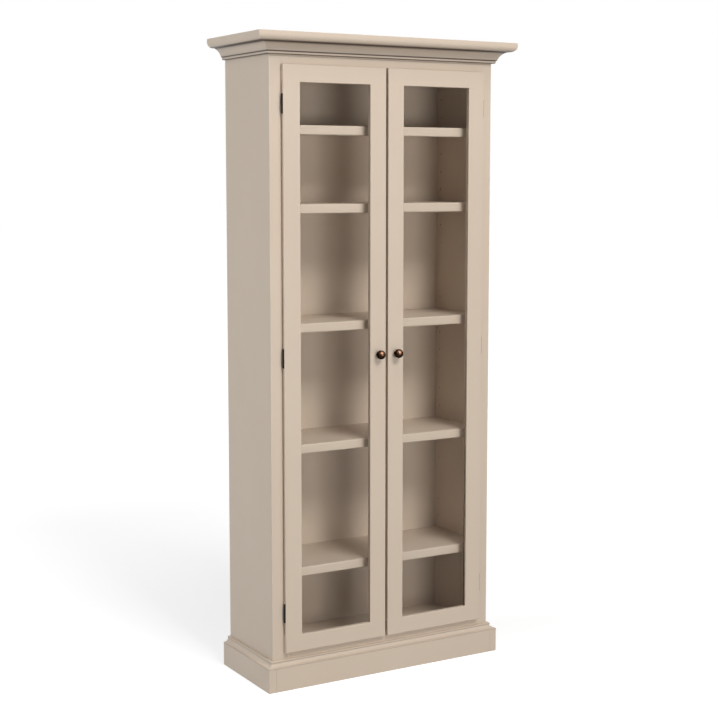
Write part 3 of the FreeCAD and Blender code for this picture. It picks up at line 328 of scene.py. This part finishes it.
def moulding(name, section, back_edge, shade_bands):
    """The three mitred lengths round the case. The section lists (how far it stands out, height)."""
    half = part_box("top_board")[1].x
    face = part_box("frame_rail_top")[0].y
    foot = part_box("front_" + name)[0].z
    runs = {
        "front": ([(-half - out, face - out, foot + up) for out, up in section],
                  [(half + out, face - out, foot + up) for out, up in section]),
        "left": ([(-half - out, back_edge, foot + up) for out, up in section],
                 [(-half - out, face - out, foot + up) for out, up in section]),
        "right": ([(half + out, face - out, foot + up) for out, up in section],
                  [(half + out, back_edge, foot + up) for out, up in section]),
    }
    for side, (start, end) in runs.items():
        work = bmesh.new()
        near = [work.verts.new(point) for point in start]
        far = [work.verts.new(point) for point in end]
        for number in range(len(section)):
            after = (number + 1) % len(section)
            work.faces.new((near[number], far[number], far[after], near[after]))
        work.faces.new(far)
        work.faces.new(list(reversed(near)))
        bmesh.ops.recalc_face_normals(work, faces=work.faces)
        along = 0 if side == "front" else 1
        finish = paint_with_painted_shade("glazed_" + name, along, foot, shade_bands)
        piece = shown_piece(f"{side}_{name}_painted", work, "case", finish)
        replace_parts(piece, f"{side}_{name}")


case_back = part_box("left_side_panel")[1].y
cove_section = (
    [(0, 0)]
    + arc((0.008, 0), (0.0115, 0.0035), 0.0035, 6)
    + [(0.0115, 0.0085), (0.0112, 0.009)]
    + arc((0.0145, 0.009), (0.0375, 0.0365), -0.039, 18)
    + [(0.0375, 0.0375), (0, 0.0375)]
)
# painted shade: darkest under the foot, in the quirk and at the top of the hollow under the cap, light over
# the hollow
cove_shade_bands = [(0, 1.0), (0.0014, 0.75), (0.003, 0.05), (0.0070, 0.1), (0.0084, 1.0), (0.0102, 0.9),
              (0.0125, 0.15), (0.022, 0.05), (0.031, 0.12), (0.0345, 0.5), (0.0362, 1.0), (0.0375, 1.0)]
moulding("cornice_moulding", cove_section, case_back, cove_shade_bands)

# ---- Plinth boards ----
# Three boards stand on the floor round the foot of the case and are glued to it. The front one fits between
# the side ones, whose painted end grain shows at the front.

for node in ("front_plinth_board", "left_plinth_board", "right_plinth_board"):
    sanded(node, "case", 0.0012, joint=0.0009)

# ---- Base moulding ----
# It stands on the plinth boards and is mitred like the cornice: a toe flush with the plinth, a steep hollow,
# and a thin rounded lip that catches the light on its upper edge.

base_section = (
    [(0, 0), (0.0256, 0), (0.026, 0.0004), (0.026, 0.0025)]
    + arc((0.026, 0.0025), (0.0085, 0.016), -0.017, 14)[1:]
    + [(0.0097, 0.016), (0.01, 0.0163)]
    + arc((0.01, 0.0195), (0.008, 0.0215), 0.002, 5)
    + [(0, 0.0215)]
)
# painted shade where the toe meets the plinth and in the crease under the lip
base_shade_bands = [(0, 0.8), (0.0008, 0.3), (0.002, 0), (0.0145, 0), (0.0158, 0.75), (0.0166, 0.2), (0.0215, 0)]
moulding("base_moulding", base_section, case_back, base_shade_bands)

# ---- Shelves ----
# Five loose boards of 18 mm, each with a deeper lipping glued along its front, whose front edges are rounded
# over. Each shelf is a little short of the sides, so that it lifts out.

shelf_names = [level + "_shelf" for level in ("bottom", "lower", "middle", "upper", "top")]
lipping_round = 0.004
for node in shelf_names:
    sanded(node, "case", 0.0005, front=False)

lippings = bmesh.new()
lipping_low, lipping_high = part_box("shelf_lippings")
lipping_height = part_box("bottom_shelf")[1].z - lipping_low.z
for node in shelf_names:
    shelf_low, shelf_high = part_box(node)
    depth = shelf_low.y - lipping_low.y
    foot = shelf_high.z - lipping_height
    outline = [(depth, 0)]
    for centre_y, centre_z, start in (
        (lipping_round, lipping_round, -90),
        (lipping_round, lipping_height - lipping_round, 180),
    ):
        for step in range(9):
            turn = math.radians(start - 90 * step / 8)
            across, up = lipping_round * math.cos(turn), lipping_round * math.sin(turn)
            outline.append((centre_y + across, centre_z + up))
    outline.append((depth, lipping_height))
    near = [lippings.verts.new((shelf_low.x, lipping_low.y + y, foot + z)) for y, z in outline]
    far = [lippings.verts.new((shelf_high.x, lipping_low.y + y, foot + z)) for y, z in outline]
    for number in range(len(outline)):
        after = (number + 1) % len(outline)
        lippings.faces.new((near[number], far[number], far[after], near[after]))
    lippings.faces.new(far)
    lippings.faces.new(list(reversed(near)))
bmesh.ops.recalc_face_normals(lippings, faces=lippings.faces)
piece = shown_piece("shelf_lippings_painted", lippings, "case", satin_paint(0))
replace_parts(piece, "shelf_lippings")

# ---- Shelf pins ----
# Turned steel pins, zinc plated, four to a shelf. They are pushed into the holes of the side panels, where a
# collar stops each one, and the shelf lies on their other ends.


def brushed_metal(name, dark, light, polish, metallic):
    """Metal with fine scratches and a colour that varies a little."""
    metal = bpy.data.materials.new(name)
    metal.use_nodes = True
    nodes, links = metal.node_tree.nodes, metal.node_tree.links
    shader = nodes["Principled BSDF"]
    shader.inputs["Metallic"].default_value = metallic
    place = nodes.new("ShaderNodeTexCoord")
    patches = nodes.new("ShaderNodeTexNoise")
    patches.inputs["Scale"].default_value = 140
    patches.inputs["Detail"].default_value = 5
    links.new(place.outputs["Object"], patches.inputs["Vector"])
    colour = nodes.new("ShaderNodeMix")
    colour.data_type = "RGBA"
    colour.inputs["A"].default_value = (*dark, 1)
    colour.inputs["B"].default_value = (*light, 1)
    links.new(patches.outputs["Fac"], colour.inputs["Factor"])
    links.new(colour.outputs["Result"], shader.inputs["Base Color"])
    gloss = nodes.new("ShaderNodeMapRange")
    gloss.inputs["To Min"].default_value = polish
    gloss.inputs["To Max"].default_value = polish + 0.16
    links.new(patches.outputs["Fac"], gloss.inputs["Value"])
    links.new(gloss.outputs["Result"], shader.inputs["Roughness"])
    scratches = nodes.new("ShaderNodeTexNoise")
    scratches.inputs["Scale"].default_value = 2600
    links.new(place.outputs["Object"], scratches.inputs["Vector"])
    relief = nodes.new("ShaderNodeBump")
    relief.inputs["Strength"].default_value = 0.15
    relief.inputs["Distance"].default_value = 0.00005
    links.new(scratches.outputs["Fac"], relief.inputs["Height"])
    links.new(relief.outputs["Normal"], shader.inputs["Normal"])
    return metal


def lathe(work, profile, origin, axis, steps=40):
    """Turns a profile of (radius, distance along the axis) into a closed form."""
    axis = Vector(axis).normalized()
    across = Vector((0, 0, 1)) if abs(axis.z) < 0.5 else Vector((1, 0, 0))
    side = axis.cross(across)
    rings = []
    for radius, distance in profile:
        centre = Vector(origin) + axis * distance
        if radius == 0:
            rings.append([work.verts.new(centre)])
            continue
        ring = []
        for step in range(steps):
            turn = 2 * math.pi * step / steps
            spoke = across * math.cos(turn) + side * math.sin(turn)
            ring.append(work.verts.new(centre + radius * spoke))
        rings.append(ring)
    for first, second in zip(rings, rings[1:]):
        for step in range(steps):
            after = (step + 1) % steps
            corners = [first[step % len(first)], first[after % len(first)],
                       second[after % len(second)], second[step % len(second)]]
            work.faces.new(list(dict.fromkeys(corners)))


def solid_places(node):
    """The lowest and the highest corner of each separate solid of a node."""
    work = bmesh.new()
    work.from_mesh(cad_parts[node].data)
    bmesh.ops.remove_doubles(work, verts=work.verts, dist=weld_gap)
    left = set(work.verts)
    places = []
    while left:
        reached = [left.pop()]
        group = []
        while reached:
            vertex = reached.pop()
            group.append(vertex.co.copy())
            for edge in vertex.link_edges:
                other = edge.other_vert(vertex)
                if other in left:
                    left.discard(other)
                    reached.append(other)
        low = Vector([min(point[axis] for point in group) for axis in range(3)])
        high = Vector([max(point[axis] for point in group) for axis in range(3)])
        places.append((low, high))
    work.free()
    return places


zinc = brushed_metal("zinc_plate", (0.42, 0.42, 0.41), (0.62, 0.61, 0.58), 0.28, 1.0)
pin_profile = [(0, 0), (0.0021, 0), (0.0025, 0.0004), (0.0025, 0.0100), (0.0038, 0.0100), (0.004, 0.0102),
               (0.004, 0.0108), (0.0038, 0.011), (0.0025, 0.011), (0.0025, 0.0184), (0.0021, 0.019),
               (0, 0.019)]
pins = bmesh.new()
for low, high in solid_places("shelf_pins"):
    outward = 1 if low.x > 0 else -1
    tip = Vector((high.x if outward > 0 else low.x, (low.y + high.y) / 2, (low.z + high.z) / 2))
    lathe(pins, pin_profile, tip, (-outward, 0, 0), 20)
bmesh.ops.recalc_face_normals(pins, faces=pins.faces)
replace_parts(shown_piece("shelf_pins_turned", pins, "case", zinc), "shelf_pins")

# ---- Hinges ----
# Three steel butt hinges to a door, blackened. The frame leaf lies on the frame and wraps round its inner
# edge, the door leaf is let into the door's back, and a loose pin with button heads holds the knuckles.

blackened = brushed_metal("blackened_steel", (0.008, 0.007, 0.006), (0.018, 0.015, 0.013), 0.42, 0.9)
fine_weld_gap = 0.000005
button_head = [(0, 0), (0.0010, 0.0001), (0.0017, 0.0004), (0.0022, 0.0009), (0.0024, 0.0015),
               (0.00125, 0.0015)]


def eased_metal(node, body, finish, arris):
    """The metal part itself with its sharp edges just taken off."""
    work = bmesh.new()
    work.from_mesh(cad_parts[node].data)
    bmesh.ops.remove_doubles(work, verts=work.verts, dist=fine_weld_gap)
    bmesh.ops.dissolve_limit(work, angle_limit=math.radians(0.5), verts=work.verts, edges=work.edges)
    piece = shown_piece(node + "_finished", work, body, finish)
    easing = piece.modifiers.new("eased edges", "BEVEL")
    easing.limit_method = "ANGLE"
    easing.angle_limit = math.radians(50)
    easing.width = arris
    easing.segments = 2
    easing.harden_normals = True
    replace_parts(piece, node)
    return piece


for side in ("left", "right"):
    eased_metal(side + "_hinge_frame_leaves", "case", blackened, 0.00015)
    eased_metal(side + "_hinge_door_leaves", side + "_door", blackened, 0.00015)
    hinge_pins = bmesh.new()
    for low, high in solid_places(side + "_hinge_pins"):
        length = high.z - low.z
        profile = button_head + [(radius, length - along) for radius, along in reversed(button_head)]
        lathe(hinge_pins, profile, ((low.x + high.x) / 2, (low.y + high.y) / 2, low.z), (0, 0, 1), 24)
    bmesh.ops.recalc_face_normals(hinge_pins, faces=hinge_pins.faces)
    piece = shown_piece(side + "_hinge_pins_turned", hinge_pins, "case", blackened)
    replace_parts(piece, side + "_hinge_pins")

# ---- Screws ----
# Round-headed wood screws in zinc plated steel: four to a hinge, two in the catch and one in each strike
# plate. Their heads stand on the leaves and have a small dip for the driver.

screw_profile = [(0, 0), (0.0015, 0.0015), (0.0015, 0.012), (0.0028, 0.012), (0.00275, 0.0123),
                 (0.0025, 0.0129), (0.0020, 0.0133), (0.0012, 0.01346), (0.0005, 0.0135),
                 (0.00045, 0.0129), (0, 0.0129)]
screwed = {"carcass_screws": "case", "left_door_screws": "left_door", "right_door_screws": "right_door"}
for node, body in screwed.items():
    screws = bmesh.new()
    for low, high in solid_places(node):
        size = high - low
        along = max(range(3), key=lambda axis: size[axis])
        middle = (low + high) / 2
        towards = Vector((0, 0, 0))
        if along == 0:
            towards.x = -1 if middle.x > 0 else 1
        elif along == 1:
            towards.y = 1
        else:
            towards.z = -1
        lathe(screws, screw_profile, middle - towards * size[along] / 2, towards, 20)
    bmesh.ops.recalc_face_normals(screws, faces=screws.faces)
    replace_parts(shown_piece(node + "_turned", screws, body, zinc), node)

# ---- Door frames ----
# Each door is two stiles and two rails of 16 mm, mortised and tenoned, rebated behind for the glass. The
# front arrises are sanded round all the way, and the stile is left square where a rail meets it.

door_rail_width = 0.056
door_arris = 0.0022
for side in ("left", "right"):
    body = side + "_door"
    door_low, door_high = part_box(side + "_door_hinge_stile")
    cuts = (door_low.z + door_rail_width, door_high.z - door_rail_width)
    for part in ("_door_hinge_stile", "_door_meeting_stile"):
        sanded(side + part, body, door_arris, joint=0, cuts=cuts)
    for part in ("_door_top_rail", "_door_bottom_rail"):
        sanded(side + part, body, door_arris, joint=0, ends=False)

# ---- Panes and beads ----
# Clear float glass of 3 mm lies in the rebate against the front lip. Flat beads of 4 by 9 mm, butted at the
# corners, hold it from behind and finish flush with the door's back.

clear_glass = bpy.data.materials.new("clear_float_glass")
clear_glass.use_nodes = True
glass_nodes, glass_links = clear_glass.node_tree.nodes, clear_glass.node_tree.links
glass_shader = glass_nodes["Principled BSDF"]
glass_shader.inputs["Base Color"].default_value = (0.985, 0.990, 0.982, 1)
glass_shader.inputs["Roughness"].default_value = 0.0
glass_shader.inputs["IOR"].default_value = 1.45
glass_shader.inputs["Specular Tint"].default_value = (0.2, 0.2, 0.2, 1)
glass_shader.inputs["Transmission Weight"].default_value = 1.0
glass_place = glass_nodes.new("ShaderNodeTexCoord")
glass_wave = glass_nodes.new("ShaderNodeTexNoise")
glass_wave.inputs["Scale"].default_value = 5
glass_links.new(glass_place.outputs["Object"], glass_wave.inputs["Vector"])
glass_relief = glass_nodes.new("ShaderNodeBump")
glass_relief.inputs["Strength"].default_value = 0.02
glass_relief.inputs["Distance"].default_value = 0.001
glass_links.new(glass_wave.outputs["Fac"], glass_relief.inputs["Height"])
glass_links.new(glass_relief.outputs["Normal"], glass_shader.inputs["Normal"])

for side in ("left", "right"):
    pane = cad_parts[side + "_door_glass"]
    pane.data.materials.clear()
    pane.data.materials.append(clear_glass)
    pane.visible_shadow = False
    pane.visible_diffuse = False
    sanded(side + "_door_glass_beads", side + "_door", 0.0006, joint=0.0003, front=False)

# ---- Knobs ----
# A turned ball on a short waisted neck and a small round foot, in dark bronze. A screw through the stile
# holds it. A copper highlight is painted on the ball's front above its middle.

bronze = brushed_metal("dark_bronze_with_painted_highlight", (0.006, 0.003, 0.002), (0.036, 0.017, 0.010), 0.15, 0.9)
bronze_nodes, bronze_links = bronze.node_tree.nodes, bronze.node_tree.links
bronze_shader = bronze_nodes["Principled BSDF"]
bronze_shader.inputs["Specular Tint"].default_value = (0.30, 0.24, 0.20, 1)
# painted highlight: a copper colour mixed in round a spot on the ball's upper front
knob_place = bronze_nodes.new("ShaderNodeTexCoord")
from_painted_highlight = bronze_nodes.new("ShaderNodeVectorMath")
from_painted_highlight.operation = "DISTANCE"
from_painted_highlight.inputs[1].default_value = (0.42, 0.12, 0.74)
bronze_links.new(knob_place.outputs["Generated"], from_painted_highlight.inputs[0])
highlight_fade = bronze_nodes.new("ShaderNodeMapRange")
highlight_fade.interpolation_type = "SMOOTHSTEP"
highlight_fade.inputs["From Min"].default_value = 0.37
highlight_fade.inputs["From Max"].default_value = 0.10
bronze_links.new(from_painted_highlight.outputs["Value"], highlight_fade.inputs["Value"])
highlight_mix = bronze_nodes.new("ShaderNodeMix")
highlight_mix.data_type = "RGBA"
highlight_mix.inputs["B"].default_value = (0.26, 0.135, 0.080, 1)
bronze_links.new(highlight_fade.outputs["Result"], highlight_mix.inputs["Factor"])
bronze_links.new(bronze_shader.inputs["Base Color"].links[0].from_socket, highlight_mix.inputs["A"])
bronze_links.new(highlight_mix.outputs["Result"], bronze_shader.inputs["Base Color"])
ball, ball_centre, neck = 0.015, 0.020, 0.0055
knob_profile = [(0, 0), (0.0079, 0), (0.008, 0.0001), (0.008, 0.0012), (0.0078, 0.0015), (0.0070, 0.0019),
                (0.0062, 0.0026), (0.0057, 0.0034), (neck, 0.0042)]
ball_turn = math.pi - math.asin(neck / ball)
for step in range(24):
    turn = ball_turn - ball_turn * step / 24
    knob_profile.append((ball * math.sin(turn), ball_centre + ball * math.cos(turn)))
knob_profile.append((0, ball_centre + ball))
for side in ("left", "right"):
    low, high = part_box(side + "_knob")
    knob = bmesh.new()
    lathe(knob, knob_profile, ((low.x + high.x) / 2, high.y, (low.z + high.z) / 2), (0, -1, 0), 56)
    bmesh.ops.recalc_face_normals(knob, faces=knob.faces)
    piece = shown_piece(side + "_knob_turned", knob, side + "_door", bronze)
    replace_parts(piece, side + "_knob")
    eased_metal(side + "_knob_screw", side + "_door", zinc, 0.0002)

# ---- Magnetic catch and strike plates ----
# A moulded plastic housing, screwed on under the face frame's top rail, holds two ferrite bar magnets. A
# small zinc plated steel plate, screwed to the back of each door, meets one of them.

moulded = brushed_metal("moulded_brown_plastic", (0.16, 0.13, 0.11), (0.22, 0.18, 0.155), 0.5, 0.0)
ferrite = brushed_metal("ferrite", (0.045, 0.045, 0.048), (0.08, 0.08, 0.085), 0.45, 0.2)
eased_metal("magnetic_catch", "case", moulded, 0.0004)
eased_metal("catch_magnets", "case", ferrite, 0.0002)
for side in ("left", "right"):
    eased_metal(side + "_strike_plate", side + "_door", zinc, 0.0002)

# ---- Studio ----
# A pale floor that runs out to a white surround. Three soft lamps stand in front, two of them high, one
# hangs overhead and two stand to the left. The surround gives little light, so that the shelves keep shade.


def seen_directly(nodes, links, reach):
    """1 for rays that come straight, off glossy faces or through one pane, and 0 for others.

    The reach is how many steps a ray may have behind it. The surround counts one step more than the floor.
    """
    rays = nodes.new("ShaderNodeLightPath")
    turns = nodes.new("ShaderNodeMath")
    turns.operation = "MULTIPLY_ADD"
    turns.inputs[1].default_value = 4
    links.new(rays.outputs["Diffuse Depth"], turns.inputs[0])
    links.new(rays.outputs["Ray Depth"], turns.inputs[2])
    seen = nodes.new("ShaderNodeMath")
    seen.operation = "LESS_THAN"
    seen.inputs[1].default_value = reach + 0.5
    links.new(turns.outputs[0], seen.inputs[0])
    named = rays.outputs["Is Camera Ray"]
    for kind in ("Is Glossy Ray", "Is Transmission Ray"):
        either = nodes.new("ShaderNodeMath")
        either.operation = "MAXIMUM"
        links.new(named, either.inputs[0])
        links.new(rays.outputs[kind], either.inputs[1])
        named = either.outputs[0]
    both = nodes.new("ShaderNodeMath")
    both.operation = "MULTIPLY"
    links.new(seen.outputs[0], both.inputs[0])
    links.new(named, both.inputs[1])
    return both.outputs[0]


def room_white(name, ground):
    """White to the eye, to gloss and through glass. The ground keeps the object's shadow."""
    surface = bpy.data.materials.new(name)
    surface.use_nodes = True
    nodes, links = surface.node_tree.nodes, surface.node_tree.links
    shader = nodes["Principled BSDF"]
    shader.inputs["Base Color"].default_value = ground
    shader.inputs["Roughness"].default_value = 0.9
    shader.inputs["Specular IOR Level"].default_value = 0.0
    shader.inputs["Emission Color"].default_value = (1, 1, 1, 1)
    seen = seen_directly(nodes, links, 2)
    # more of it further out, so that the ground runs into the surround without a line
    place = nodes.new("ShaderNodeTexCoord")
    distance = nodes.new("ShaderNodeVectorMath")
    distance.operation = "LENGTH"
    links.new(place.outputs["Object"], distance.inputs[0])
    fade = nodes.new("ShaderNodeMapRange")
    fade.inputs["From Min"].default_value = 0.8
    fade.inputs["From Max"].default_value = 5
    fade.inputs["To Min"].default_value = 0.7
    fade.inputs["To Max"].default_value = 0.98
    links.new(distance.outputs["Value"], fade.inputs["Value"])
    lift = nodes.new("ShaderNodeMath")
    lift.operation = "MULTIPLY"
    links.new(seen, lift.inputs[0])
    links.new(fade.outputs["Result"], lift.inputs[1])
    links.new(lift.outputs[0], shader.inputs["Emission Strength"])
    return surface


floor_work = bmesh.new()
bmesh.ops.create_grid(floor_work, x_segments=2, y_segments=2, size=40)
floor_mesh = bpy.data.meshes.new("floor")
floor_work.to_mesh(floor_mesh)
floor_work.free()
floor = bpy.data.objects.new("floor", floor_mesh)
bpy.context.scene.collection.objects.link(floor)
floor_mesh.materials.append(room_white("pale_floor", (0.55, 0.545, 0.54, 1)))

world = bpy.data.worlds.new("white_room")
bpy.context.scene.world = world
world.use_nodes = True
room, room_links = world.node_tree.nodes, world.node_tree.links
air = room["Background"]
air.inputs["Color"].default_value = (1, 1, 1, 1)
seen_white = seen_directly(room, room_links, 3)
strength = room.new("ShaderNodeMapRange")
strength.inputs["To Min"].default_value = 0.09
strength.inputs["To Max"].default_value = 1.0
room_links.new(seen_white, strength.inputs["Value"])
room_links.new(strength.outputs["Result"], air.inputs["Strength"])


def soft_lamp(name, place, aim, width, height, watts, colour=(1, 1, 1)):
    lamp = bpy.data.lights.new(name, "AREA")
    lamp.shape = "RECTANGLE"
    lamp.size, lamp.size_y = width, height
    lamp.energy = watts
    lamp.color = colour
    stand = bpy.data.objects.new(name, lamp)
    bpy.context.scene.collection.objects.link(stand)
    stand.visible_transmission = False
    stand.location = place
    stand.rotation_euler = (Vector(aim) - Vector(place)).to_track_quat("-Z", "Y").to_euler()


soft_lamp("far_front_lamp", (0.5, -6.0, 6.5), (0, 0, 1.0), 3.0, 2.0, 258)
soft_lamp("near_front_lamp", (-0.2, -4.2, 4.6), (0, 0, 1.0), 1.4, 1.0, 28)
soft_lamp("level_lamp", (-0.3, -5.5, 1.3), (0, 0, 0.8), 1.8, 1.2, 86)
soft_lamp("overhead_lamp", (-0.2, -1.4, 4.6), (-0.1, -0.3, 0.6), 2.0, 1.0, 26)
soft_lamp("left_lamp", (-4.4, 0.7, 2.0), (0, 0, 0.9), 2.0, 2.4, 80, (0.94, 0.97, 1.0))
soft_lamp("high_left_lamp", (-3.4, -1.2, 4.4), (0, 0, 1.0), 1.6, 1.6, 20, (0.94, 0.97, 1.0))

lens = bpy.data.cameras.new("camera")
lens.sensor_width = 36
lens.lens = 75.01
lens.shift_y = -0.0299
lens.clip_end = 200
camera = bpy.data.objects.new("camera", lens)
bpy.context.scene.collection.objects.link(camera)
camera.location = (-2.5904, -4.3894, 1.6865)
camera.rotation_euler = (math.radians(90 - 6.192), 0, math.radians(-30.324))
bpy.context.scene.camera = camera
bpy.context.scene.view_settings.view_transform = "Standard"
